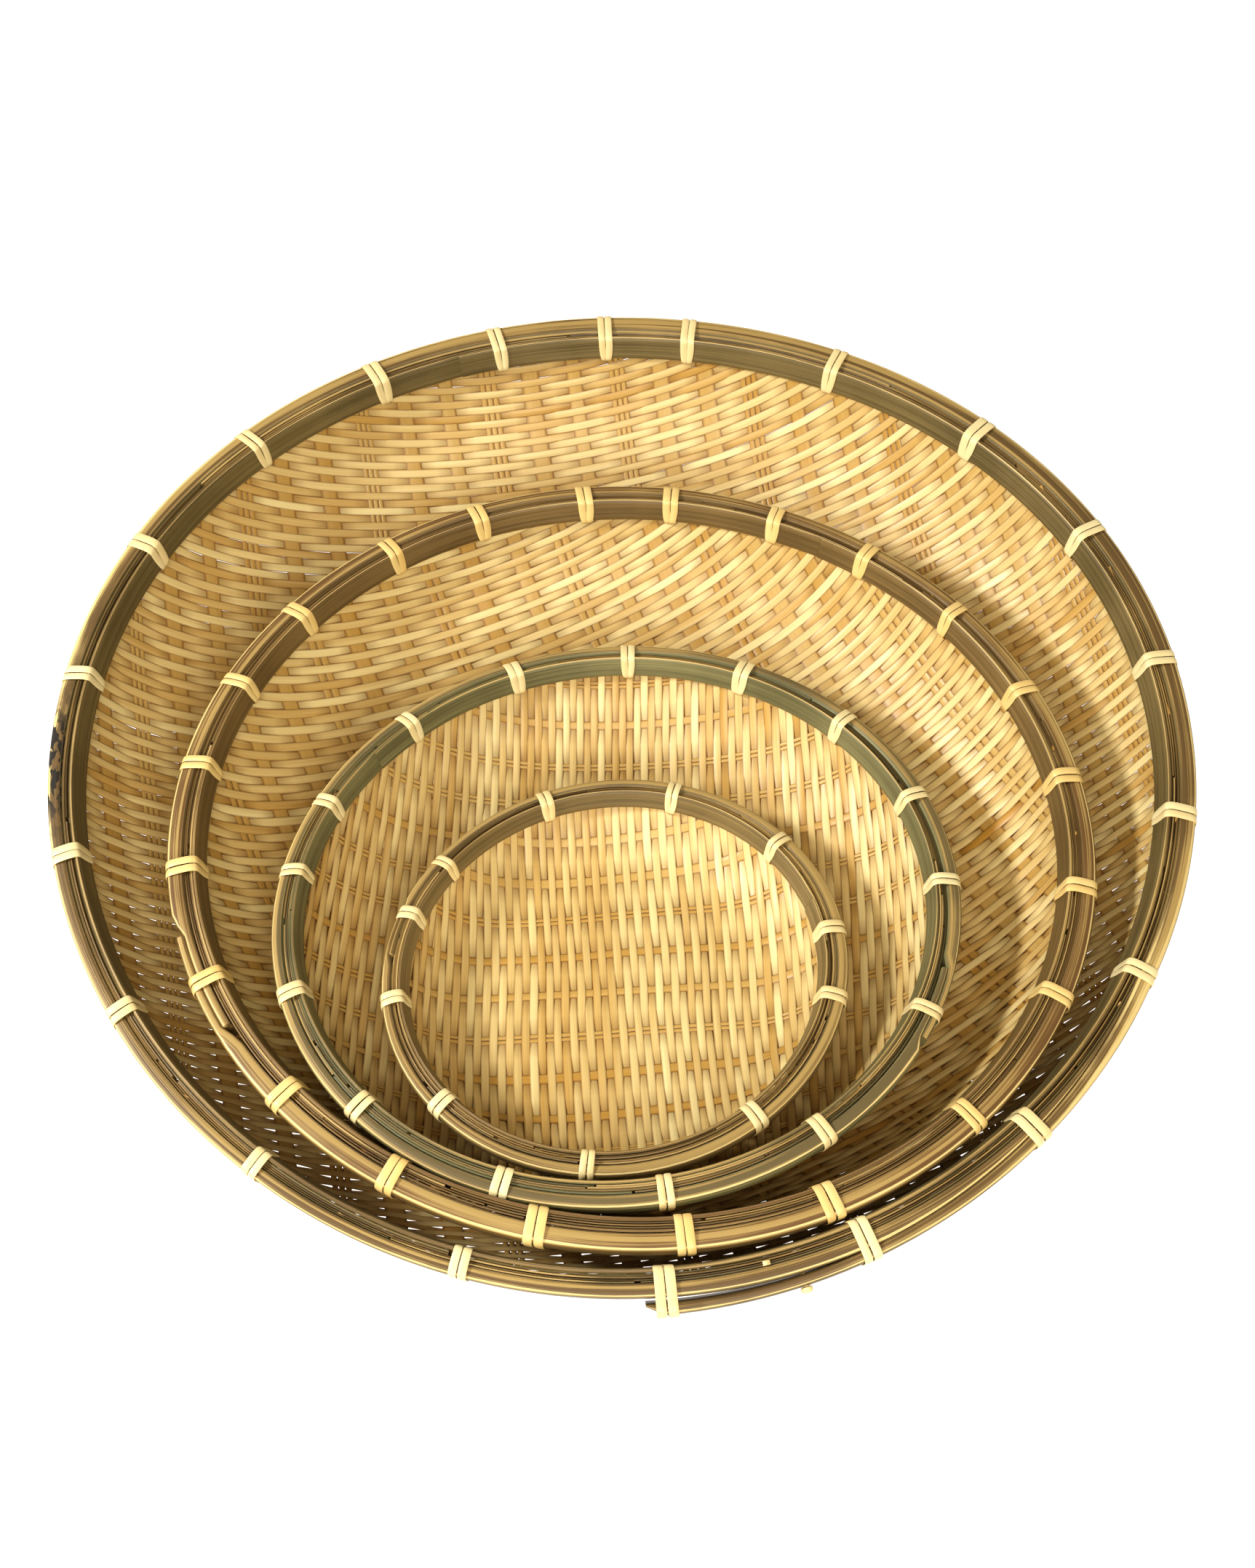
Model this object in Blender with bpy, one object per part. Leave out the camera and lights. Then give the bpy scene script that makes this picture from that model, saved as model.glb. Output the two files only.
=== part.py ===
"""Nest of four round winnowing trays, hand made from split bamboo.

Every tray is a woven bowl whose edge is clamped between an inner and an outer
bamboo hoop.  A filler lies between the hoops on top of the weave's edge, and
cane lacing binds the rim together.  The smaller trays lie inside the larger
ones, slid towards the front, each with its front rim a little raised because
it has climbed the wall of the tray below.

Units are metres, +Z is up and -Y is the front.  The origin is the middle of
the underside of the largest tray.
"""

import math

import bmesh
import bpy
from mathutils import Vector

# ---------------------------------------------------------------------------
# Driving dimensions
# ---------------------------------------------------------------------------

MM = 0.001

# The woven bowl: a flat floor, then one round bend up to the rim.
WALL_THICKNESS = 2.8 * MM
FLOOR_SHARE = 0.60
RIM_SLOPE = math.radians(75.0)
BEND_STEPS = 3

# The rim of the largest tray; the other trays use smaller strips.
INNER_HOOP_THICKNESS = 3.9 * MM
HOOP_HEIGHT = 15.0 * MM
TIE_WIDTH = 12.5 * MM
CANE_THICKNESS = 0.9 * MM

# Distances measured down the wall from the top of the hoops.
WEAVE_EDGE_DROP = 4.5 * MM
FILLER_BOTTOM_DROP = 4.2 * MM
FILLER_TOP_DROP = 1.6 * MM
LACING_RUN_BOTTOM_DROP = 1.2 * MM
LACING_RUN_TOP_DROP = -0.8 * MM
LACING_RUN_WIDTH = 2.2 * MM

# Gaps between pieces that touch.
GAP = 0.3 * MM
TIE_GAP = 0.4 * MM
FOOT_GAP = 0.7 * MM
NEST_GAP = 0.6 * MM

# Overlaps of the hoops, as angles round the rim.
SCARF_ANGLE = math.radians(14.0)
TAPER_ANGLE = math.radians(2.5)
STEP_ANGLE = math.radians(0.4)

# The outer hoop of the largest tray ends in a tail that lies outside its start.
TAIL_ANGLE = math.radians(23.5)
TAIL_TAPER_ANGLE = math.radians(7.0)
TAIL_THICKNESS_SHARE = 0.65
TAIL_SAG = 5.0 * MM

# A peg pins the tail, and a wedge tightens the groove beside it.
PEG_RADIUS = 1.6 * MM
PEG_AZIMUTH = math.radians(286.0)
PEG_DROP = 9.5 * MM
PEG_HEAD = 1.5 * MM
WEDGE_AZIMUTH = math.radians(283.0)
WEDGE_WIDTH = 3.4 * MM
WEDGE_BOTTOM_DROP = 1.3 * MM
WEDGE_TOP_DROP = -1.2 * MM


class Tray:
    """One round tray: its driving sizes and the curve of its wall."""

    def __init__(self, number, radius, strip_share, outer_thickness, sides, lobes, bulge,
                 bulge_azimuth, inner_splice, outer_splice, tie_degrees):
        self.number = number
        self.radius = radius
        self.sides = sides
        self.lobes = lobes
        self.bulge = bulge / radius
        self.bulge_azimuth = math.radians(bulge_azimuth)
        self.inner_splice = math.radians(inner_splice)
        self.outer_splice = math.radians(outer_splice)
        self.ties = [math.radians(degrees) for degrees in tie_degrees]
        self.inner_thickness = INNER_HOOP_THICKNESS * strip_share
        self.outer_thickness = outer_thickness
        self.hoop_height = HOOP_HEIGHT * strip_share
        self.tie_width = TIE_WIDTH * strip_share
        # Depths through the rim, measured outwards from the middle of the wall.
        self.face = WALL_THICKNESS / 2 + GAP
        self.inner_face = -(self.face + self.inner_thickness)
        self.outer_face = self.face + self.outer_thickness
        # The wall: a floor radius, then a bend whose centre is above its edge.
        rim_radius = radius - self.inner_face * math.sin(RIM_SLOPE)
        self.floor_radius = FLOOR_SHARE * rim_radius
        self.bend = (rim_radius - self.floor_radius) / math.sin(RIM_SLOPE)
        self.bend_height = WALL_THICKNESS / 2 + self.bend

    @property
    def prefix(self):
        return f"tray_{self.number}"

    def slope(self, drop):
        """Slope of the wall at a distance down it from the top of the hoops."""
        return RIM_SLOPE - drop / self.bend

    def section(self, drop, depth):
        """Radius and height of a point given by its drop and its depth through the rim."""
        return self.bend_point(self.slope(drop), depth)

    def bend_point(self, slope, depth):
        reach = self.bend + depth
        return (self.floor_radius + reach * math.sin(slope),
                self.bend_height - reach * math.cos(slope))

    def out_of_round(self, azimuth):
        """A hand-bent hoop is never a true circle."""
        return 1.0 + self.bulge * math.cos(self.lobes * (azimuth - self.bulge_azimuth))

    def place(self, azimuth, radius, height):
        """Point at an azimuth on the flat facets that every piece of the tray shares."""
        facet = math.tau / self.sides
        first = math.floor(azimuth / facet + 1e-6) * facet
        second = first + facet
        first_radius = radius * self.out_of_round(first)
        second_radius = radius * self.out_of_round(second)
        near = first_radius * math.sin(azimuth - first)
        far = second_radius * math.sin(second - azimuth)
        share = near / (near + far)
        x = (1 - share) * first_radius * math.cos(first) + share * second_radius * math.cos(second)
        y = (1 - share) * first_radius * math.sin(first) + share * second_radius * math.sin(second)
        return Vector((x, y, height))

    def stops(self, start, end, extra=()):
        """Azimuths of the facet corners between two azimuths, with any extra ones."""
        facet = math.tau / self.sides
        first = math.ceil(start / facet)
        last = math.floor(end / facet)
        stops = [start, end, *extra] + [facet * corner for corner in range(first, last + 1)]
        kept = []
        for stop in sorted(stops):
            if not kept or stop - kept[-1] > STEP_ANGLE / 4:
                kept.append(stop)
        return kept


TRAYS = (
    Tray(1, radius=0.300, strip_share=1.00, outer_thickness=8.0 * MM, sides=44, lobes=3,
         bulge=2.6 * MM, bulge_azimuth=30, inner_splice=110, outer_splice=294,
         tie_degrees=(9, 27, 45, 64, 82, 92, 105, 120, 137, 155,
                      173, 195, 214, 235, 256, 274, 292, 311, 331, 350)),
    Tray(2, radius=0.233, strip_share=0.94, outer_thickness=6.4 * MM, sides=40, lobes=2,
         bulge=3.2 * MM, bulge_azimuth=-21, inner_splice=60, outer_splice=212,
         tie_degrees=(6, 21, 37, 53, 68, 84, 97, 113, 127, 144, 158,
                      172, 188, 205, 224, 241, 259, 276, 293, 313, 333, 349)),
    Tray(3, radius=0.169, strip_share=0.86, outer_thickness=5.2 * MM, sides=36, lobes=2,
         bulge=3.8 * MM, bulge_azimuth=31, inner_splice=145, outer_splice=345,
         tie_degrees=(3, 22, 43, 65, 88, 111, 135, 159, 175, 200, 225, 252, 278, 306, 336)),
    Tray(4, radius=0.113, strip_share=0.78, outer_thickness=4.7 * MM, sides=32, lobes=2,
         bulge=3.2 * MM, bulge_azimuth=55, inner_splice=20, outer_splice=178,
         tie_degrees=(10, 41, 74, 110, 146, 165, 192, 225, 264, 307, 349)),
)

# How each tray lies in the one below: sideways, forwards, and raised at the front.
NEST = {
    2: (6.0 * MM, -52.0 * MM, math.radians(3.0)),
    3: (-8.0 * MM, -47.0 * MM, math.radians(3.0)),
    4: (-1.0 * MM, -35.0 * MM, math.radians(1.8)),
}

# Base colour (linear RGB) and roughness of every material.
COLOURS = {
    "tray_1_weave": ((0.78, 0.56, 0.22), 0.45),
    "tray_2_weave": ((0.78, 0.55, 0.21), 0.45),
    "tray_3_weave": ((0.80, 0.60, 0.28), 0.45),
    "tray_4_weave": ((0.80, 0.60, 0.27), 0.45),
    "tray_1_hoops": ((0.30, 0.24, 0.11), 0.40),
    "tray_2_hoops": ((0.31, 0.22, 0.11), 0.40),
    "tray_3_hoops": ((0.31, 0.32, 0.16), 0.40),
    "tray_4_hoops": ((0.33, 0.25, 0.12), 0.40),
    "rim_filler": ((0.40, 0.29, 0.13), 0.55),
    "tray_1_cane": ((0.90, 0.82, 0.52), 0.38),
    "tray_2_cane": ((0.86, 0.68, 0.34), 0.38),
    "tray_3_cane": ((0.90, 0.82, 0.52), 0.38),
    "tray_4_cane": ((0.88, 0.77, 0.48), 0.38),
    "pale_bamboo": ((0.88, 0.77, 0.48), 0.50),
}


# ---------------------------------------------------------------------------
# Scene helpers
# ---------------------------------------------------------------------------

def clear_scene():
    for thing in list(bpy.data.objects):
        bpy.data.objects.remove(thing, do_unlink=True)


def make_material(name):
    colour, roughness = COLOURS[name]
    material = bpy.data.materials.new(name)
    material.use_nodes = True
    shader = material.node_tree.nodes["Principled BSDF"]
    shader.inputs["Base Color"].default_value = (*colour, 1.0)
    shader.inputs["Roughness"].default_value = roughness
    shader.inputs["Metallic"].default_value = 0.0
    return material


def add_object(name, mesh, parent, material):
    thing = bpy.data.objects.new(name, mesh)
    bpy.context.scene.collection.objects.link(thing)
    thing.parent = parent
    thing.data.materials.append(material)
    return thing


def finish_mesh(name, shape):
    """Turn a bmesh into a smooth-shaded mesh whose faces all point outwards."""
    bmesh.ops.recalc_face_normals(shape, faces=shape.faces)
    mesh = bpy.data.meshes.new(name)
    shape.to_mesh(mesh)
    shape.free()
    mesh.shade_smooth()
    mesh.set_sharp_from_angle(angle=math.radians(40))
    return mesh


def loft(shape, outlines, closed):
    """Skin a row of matching closed outlines, as a ring or with capped ends."""
    loops = [[shape.verts.new(point) for point in outline] for outline in outlines]
    pairs = list(zip(loops, loops[1:]))
    if closed:
        pairs.append((loops[-1], loops[0]))
    for first, second in pairs:
        for index, corner in enumerate(first):
            following = (index + 1) % len(first)
            shape.faces.new((corner, first[following], second[following], second[index]))
    if not closed:
        shape.faces.new(loops[0])
        shape.faces.new(list(reversed(loops[-1])))


def cut_or_join(target, tools, operation):
    """Apply one Boolean for each tool to the target's mesh, then remove the tools."""
    for tool in tools:
        modifier = target.modifiers.new(tool.name, "BOOLEAN")
        modifier.operation = operation
        modifier.solver = "EXACT"
        modifier.object = tool
        tool.hide_render = True
        tool.display_type = "WIRE"
    graph = bpy.context.evaluated_depsgraph_get()
    result = bpy.data.meshes.new_from_object(target.evaluated_get(graph))
    target.modifiers.clear()
    target.data = result
    for tool in tools:
        bpy.data.objects.remove(tool, do_unlink=True)


# ---------------------------------------------------------------------------
# The woven bowl
# ---------------------------------------------------------------------------

def bowl_outline(tray):
    """Half section of the bowl: out along the underside, up, and back inside."""
    hoop_slope = tray.slope(tray.hoop_height)
    slopes = [hoop_slope * step / BEND_STEPS for step in range(BEND_STEPS + 1)]
    slopes += [tray.slope(tray.hoop_height / 2), tray.slope(WEAVE_EDGE_DROP)]
    half = WALL_THICKNESS / 2
    outside = [tray.bend_point(slope, half) for slope in slopes]
    inside = [tray.bend_point(slope, -half) for slope in reversed(slopes)]
    return [(0.0, 0.0), *outside, *inside, (0.0, WALL_THICKNESS)]


def make_bowl(tray, parent, material):
    """Turn the half section round the middle, then bend the circle out of round."""
    name = f"{tray.prefix}_woven_bowl"
    shape = bmesh.new()
    corners = [shape.verts.new((radius, 0.0, height)) for radius, height in bowl_outline(tray)]
    edges = [shape.edges.new(pair) for pair in zip(corners, corners[1:])]
    bmesh.ops.spin(shape, geom=corners + edges, axis=(0, 0, 1), cent=(0, 0, 0),
                   steps=tray.sides, angle=math.tau)
    bmesh.ops.remove_doubles(shape, verts=shape.verts, dist=0.00001)
    for corner in shape.verts:
        scale = tray.out_of_round(math.atan2(corner.co.y, corner.co.x))
        corner.co.x *= scale
        corner.co.y *= scale
    add_object(name, finish_mesh(name, shape), parent, material)


# ---------------------------------------------------------------------------
# The hoops and the filler between them
# ---------------------------------------------------------------------------

def rim_outline(tray, azimuth, low, high, bottom, top, bulged=False):
    """Section of a rim strip between two depths and two drops, at one azimuth."""
    corners = [(bottom, low), (bottom, high), (top, high), (top, low)]
    if bulged:
        middle = (bottom + top) / 2
        corners = [(bottom, low), (bottom, high), (middle, high), (top, high), (top, low), (middle, low)]
    return [tray.place(azimuth, *tray.section(drop, depth)) for drop, depth in corners]


def blend(first, second, share):
    share = min(max(share, 0.0), 1.0)
    return first + (second - first) * share


def scarfed_depths(azimuth, splice, low, high):
    """Depth range of a hoop whose two tapered ends lie side by side past the splice."""
    middle = (low + high) / 2
    if azimuth < splice + math.pi:
        past = azimuth - (splice + SCARF_ANGLE + STEP_ANGLE)
        return blend(middle + GAP / 2, low, past / TAPER_ANGLE), high
    past = azimuth - (splice + math.tau - STEP_ANGLE - TAPER_ANGLE)
    return low, blend(high, middle - GAP / 2, past / TAPER_ANGLE)


def make_scarfed_hoop(tray, name, splice, low, high, parent, material, bulged):
    """A flat hoop that overlaps itself; both of its ends are pared to half thickness."""
    end = splice + math.tau + SCARF_ANGLE
    bends = (splice + SCARF_ANGLE + STEP_ANGLE,
             splice + SCARF_ANGLE + STEP_ANGLE + TAPER_ANGLE,
             splice + math.tau - STEP_ANGLE - TAPER_ANGLE,
             splice + math.tau - STEP_ANGLE)
    outlines = []
    for azimuth in tray.stops(splice, end, bends):
        near, far = scarfed_depths(azimuth, splice, low, high)
        outlines.append(rim_outline(tray, azimuth, near, far, tray.hoop_height, 0.0, bulged))
    shape = bmesh.new()
    loft(shape, outlines, closed=False)
    return add_object(name, finish_mesh(name, shape), parent, material)


def tail_shift(tray, azimuth):
    """How far the tail of the outer hoop has moved outside the hoop's start, 0 to 1."""
    past = tray.outer_splice + TAIL_TAPER_ANGLE - azimuth
    return min(max(past / TAIL_TAPER_ANGLE, 0.0), 1.0)


def tail_section(tray, azimuth):
    """Depths and drops of the outer hoop's tail at an azimuth."""
    shift = tail_shift(tray, azimuth)
    low = blend(tray.face, tray.outer_face + GAP, shift)
    thickness = blend(tray.outer_thickness, tray.outer_thickness * TAIL_THICKNESS_SHARE, shift)
    sag = TAIL_SAG * max((tray.outer_splice - azimuth) / TAIL_ANGLE, 0.0)
    return low, low + thickness, tray.hoop_height + sag, sag


def make_tailed_hoop(tray, name, parent, material):
    """The largest outer hoop: its tail runs on outside its own start and hangs a little."""
    tail_end = tray.outer_splice - TAIL_ANGLE
    bend = tray.outer_splice + TAIL_TAPER_ANGLE
    outlines = []
    for azimuth in tray.stops(tail_end, bend, (tray.outer_splice,)):
        low, high, bottom, top = tail_section(tray, azimuth)
        outlines.append(rim_outline(tray, azimuth, low, high, bottom, top, bulged=True))
    rest_of_turn = tray.stops(bend - math.tau, tray.outer_splice - STEP_ANGLE)[1:]
    for azimuth in rest_of_turn:
        outlines.append(rim_outline(tray, azimuth, tray.face, tray.outer_face,
                                    tray.hoop_height, 0.0, bulged=True))
    shape = bmesh.new()
    loft(shape, outlines, closed=False)
    return add_object(name, finish_mesh(name, shape), parent, material)


def make_filler(tray, parent, material):
    """A closed ring of slivers that hides the weave's edge between the hoops."""
    name = f"{tray.prefix}_rim_filler"
    half = WALL_THICKNESS / 2
    facet = math.tau / tray.sides
    outlines = [rim_outline(tray, facet * corner, -half, half, FILLER_BOTTOM_DROP, FILLER_TOP_DROP)
                for corner in range(tray.sides)]
    shape = bmesh.new()
    loft(shape, outlines, closed=True)
    add_object(name, finish_mesh(name, shape), parent, material)


# ---------------------------------------------------------------------------
# The cane lacing
# ---------------------------------------------------------------------------

def outer_reach(tray, azimuth, half_angle):
    """How far out and how far down the rim reaches under a tie."""
    if tray.number != 1:
        return tray.outer_face, tray.hoop_height
    tail_end = tray.outer_splice - TAIL_ANGLE
    if not tail_end <= azimuth <= tray.outer_splice + TAIL_TAPER_ANGLE:
        return tray.outer_face, tray.hoop_height
    sections = [tail_section(tray, azimuth + side * half_angle) for side in (-1, 1)]
    return max(section[1] for section in sections), max(section[2] for section in sections)


def tie_outline(tray, azimuth, outer, bottom):
    """The tie's section: a strip bent over the rim with its feet under both hoops."""
    sagitta = tray.bend * (1 - math.cos(bottom / tray.bend / 2))
    outer += TIE_GAP + sagitta
    inner = tray.inner_face - TIE_GAP
    foot = WALL_THICKNESS / 2 + FOOT_GAP
    cane = CANE_THICKNESS
    outer_bottom = bottom + TIE_GAP
    inner_bottom = tray.hoop_height + TIE_GAP
    near_side = [(outer_bottom, foot), (outer_bottom, outer), (-TIE_GAP, outer),
                 (-TIE_GAP, inner), (inner_bottom, inner), (inner_bottom, -foot)]
    far_side = [(inner_bottom + cane, -foot), (inner_bottom + cane, inner - cane),
                (-TIE_GAP - cane, inner - cane), (-TIE_GAP - cane, outer + cane),
                (outer_bottom + cane, outer + cane), (outer_bottom + cane, foot)]
    return [tray.place(azimuth, *tray.section(drop, depth)) for drop, depth in near_side + far_side]


def make_tie(tray, name, azimuth, parent, material):
    half_angle = tray.tie_width / 2 / tray.radius
    outer, bottom = outer_reach(tray, azimuth, half_angle)
    shape = bmesh.new()
    outlines = [tie_outline(tray, stop, outer, bottom)
                for stop in tray.stops(azimuth - half_angle, azimuth + half_angle)]
    loft(shape, outlines, closed=False)
    return add_object(name, finish_mesh(name, shape), parent, material)


def make_run(tray, name, start, end, parent, material):
    """The stretch of lacing that lies in the groove from one tie to the next."""
    half = LACING_RUN_WIDTH / 2
    outlines = [rim_outline(tray, azimuth, -half, half, LACING_RUN_BOTTOM_DROP, LACING_RUN_TOP_DROP)
                for azimuth in tray.stops(start, end)]
    shape = bmesh.new()
    loft(shape, outlines, closed=False)
    return add_object(name, finish_mesh(name, shape), parent, material)


def make_lacing(tray, parent, material):
    """Each cane strip binds two neighbouring ties; an odd last tie has its own strip."""
    for strip, first in enumerate(range(0, len(tray.ties), 2), start=1):
        name = f"{tray.prefix}_lacing_{strip:02d}"
        pair = tray.ties[first:first + 2]
        if len(pair) == 1:
            make_tie(tray, name, pair[0], parent, material)
            continue
        run = make_run(tray, name, *pair, parent, material)
        ties = [make_tie(tray, f"{name}_tie", azimuth, parent, material) for azimuth in pair]
        bpy.context.view_layer.update()
        cut_or_join(run, ties, "UNION")


# ---------------------------------------------------------------------------
# The peg and the wedge at the largest tray's splice
# ---------------------------------------------------------------------------

def make_rod(tray, name, low, high, radius, parent, material):
    """A round rod through the rim at the peg's place, square to the wall."""
    first = tray.place(PEG_AZIMUTH, *tray.section(PEG_DROP, low))
    second = tray.place(PEG_AZIMUTH, *tray.section(PEG_DROP, high))
    along = second - first
    shape = bmesh.new()
    bmesh.ops.create_cone(shape, cap_ends=True, segments=12, radius1=radius, radius2=radius,
                          depth=along.length)
    turn = along.to_track_quat("Z", "Y").to_matrix().to_4x4()
    bmesh.ops.transform(shape, matrix=turn, verts=shape.verts)
    bmesh.ops.translate(shape, vec=(first + second) / 2, verts=shape.verts)
    return add_object(name, finish_mesh(name, shape), parent, material)


def peg_tail(tray, hoop, parent, material):
    """Bore the splice and drive a pale bamboo peg through it from outside."""
    outside = tail_section(tray, PEG_AZIMUTH)[1]
    inner_end = tray.face + tray.outer_thickness / 3
    bore = make_rod(tray, "peg_bore", inner_end - GAP, outside + 3 * PEG_HEAD,
                    PEG_RADIUS + GAP, parent, material)
    bpy.context.view_layer.update()
    cut_or_join(hoop, [bore], "DIFFERENCE")
    make_rod(tray, f"{tray.prefix}_splice_peg", inner_end, outside + PEG_HEAD,
             PEG_RADIUS, parent, material)


def make_wedge(tray, parent, material):
    name = f"{tray.prefix}_rim_wedge"
    half_angle = WEDGE_WIDTH / 2 / tray.radius
    half = WALL_THICKNESS / 2
    shape = bmesh.new()
    outlines = [rim_outline(tray, stop, -half, half, WEDGE_BOTTOM_DROP, WEDGE_TOP_DROP)
                for stop in tray.stops(WEDGE_AZIMUTH - half_angle, WEDGE_AZIMUTH + half_angle)]
    loft(shape, outlines, closed=False)
    add_object(name, finish_mesh(name, shape), parent, material)


# ---------------------------------------------------------------------------
# The trays and the nest
# ---------------------------------------------------------------------------

def make_frame(tray, host_frame):
    """An empty that carries a tray; the tray lifts straight up from where it lies."""
    frame = bpy.data.objects.new(f"{tray.prefix}_frame", None)
    bpy.context.scene.collection.objects.link(frame)
    if host_frame is not None:
        sideways, forwards, tilt = NEST[tray.number]
        heel_drop = tray.floor_radius * tray.out_of_round(math.pi / 2) * math.sin(tilt)
        frame.parent = host_frame
        frame.location = (sideways, forwards, WALL_THICKNESS + NEST_GAP + heel_drop)
        frame.rotation_euler = (-tilt, 0.0, 0.0)
    return frame


def make_tray(tray, host_frame, materials):
    frame = make_frame(tray, host_frame)
    hoops = materials[f"{tray.prefix}_hoops"]
    cane = materials[f"{tray.prefix}_cane"]
    make_bowl(tray, frame, materials[f"{tray.prefix}_weave"])
    make_scarfed_hoop(tray, f"{tray.prefix}_inner_hoop", tray.inner_splice,
                      tray.inner_face, -tray.face, frame, hoops, bulged=False)
    outer_name = f"{tray.prefix}_outer_hoop"
    if tray.number == 1:
        outer = make_tailed_hoop(tray, outer_name, frame, hoops)
        peg_tail(tray, outer, frame, materials["pale_bamboo"])
        make_wedge(tray, frame, materials["pale_bamboo"])
    else:
        make_scarfed_hoop(tray, outer_name, tray.outer_splice,
                          tray.face, tray.outer_face, frame, hoops, bulged=True)
    make_filler(tray, frame, materials["rim_filler"])
    make_lacing(tray, frame, cane)
    return frame


def main():
    clear_scene()
    materials = {name: make_material(name) for name in COLOURS}
    frame = None
    for tray in TRAYS:
        frame = make_tray(tray, frame, materials)
    bpy.context.view_layer.update()


main()
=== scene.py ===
"""Looks for a nest of four winnowing trays, woven and bound from split bamboo.

Laid out as an add-on and run as a script.  Every strip of the weave, every hoop,
sliver and cane turn is a closed mesh of its own, worked out in the frame of the
tray it belongs to.  Lengths are metres.
"""

import math

import bpy
import numpy as np
from bpy.props import FloatProperty, FloatVectorProperty, IntProperty, PointerProperty
from mathutils import Matrix, Vector


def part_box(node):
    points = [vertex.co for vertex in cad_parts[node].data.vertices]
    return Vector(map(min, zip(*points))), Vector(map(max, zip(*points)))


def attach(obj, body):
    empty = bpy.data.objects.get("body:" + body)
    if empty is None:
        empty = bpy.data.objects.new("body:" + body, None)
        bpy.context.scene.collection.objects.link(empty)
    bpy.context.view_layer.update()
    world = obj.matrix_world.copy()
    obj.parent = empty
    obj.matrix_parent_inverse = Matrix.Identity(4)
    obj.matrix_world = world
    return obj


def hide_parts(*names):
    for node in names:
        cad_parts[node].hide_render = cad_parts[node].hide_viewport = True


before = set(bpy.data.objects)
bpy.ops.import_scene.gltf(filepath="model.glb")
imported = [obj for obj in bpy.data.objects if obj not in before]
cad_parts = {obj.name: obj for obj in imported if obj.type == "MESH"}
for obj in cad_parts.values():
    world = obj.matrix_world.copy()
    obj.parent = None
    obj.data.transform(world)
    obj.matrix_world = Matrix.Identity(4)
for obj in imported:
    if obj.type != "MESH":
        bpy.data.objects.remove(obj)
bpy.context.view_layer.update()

bl_info = {
    "name": "Winnowing tray nest",
    "version": (1, 0, 0),
    "blender": (4, 5, 0),
    "location": "View3D > Sidebar > Trays",
    "description": "Weaves, rims and binds a nest of split bamboo winnowing trays",
    "category": "Object",
}

MM = 0.001

# The curve of every bowl, as in the design: flat floor, one bend, leaning rim.
WALL = 2.8 * MM
FLOOR_SHARE = 0.60
RIM_SLOPE = math.radians(75.0)
NEST_GAP = 0.6 * MM
WEAVE_EDGE_DROP = 4.5 * MM
RIM_GAP = 0.3 * MM
HOOP_CROWN = 1.0 * MM
SHORTEST_STRIP = 8 * MM
INNER_REACH = 3.9 * MM
HOOP_HEIGHT = 15.0 * MM
TAIL_ANGLE = math.radians(21.7)
TAIL_CUT = math.radians(1.7)
TAIL_TAPER = math.radians(36.0)
TAIL_SHARE = 0.65
TAIL_SAG = 8.0 * MM
TAIL_FLARE = 3.5 * MM
SCARF = math.radians(14.0)
SCARF_EASE = math.radians(2.5)
SCARF_LOSS = 0.52
# Degrees round the largest rim: where its top is palest, and where it is stained.
PALE_STRETCHES = (172.0, 325.0)
PALE_SPREAD = 24.0
STAIN_MIDDLE = 184.0
STAIN_SPREAD = 6.5
STAIN_DEPTH = 1.6
PEG_AZIMUTH = math.radians(286.0)
PEG_DROP = 6.5 * MM
# Slivers stop just above the weave's edge.
SLIVER_BOTTOM = 4.1 * MM
WEDGE_AZIMUTH = math.radians(283.0)
WEDGE_WIDTH = 3.4 * MM


# --- The trays ---

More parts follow.
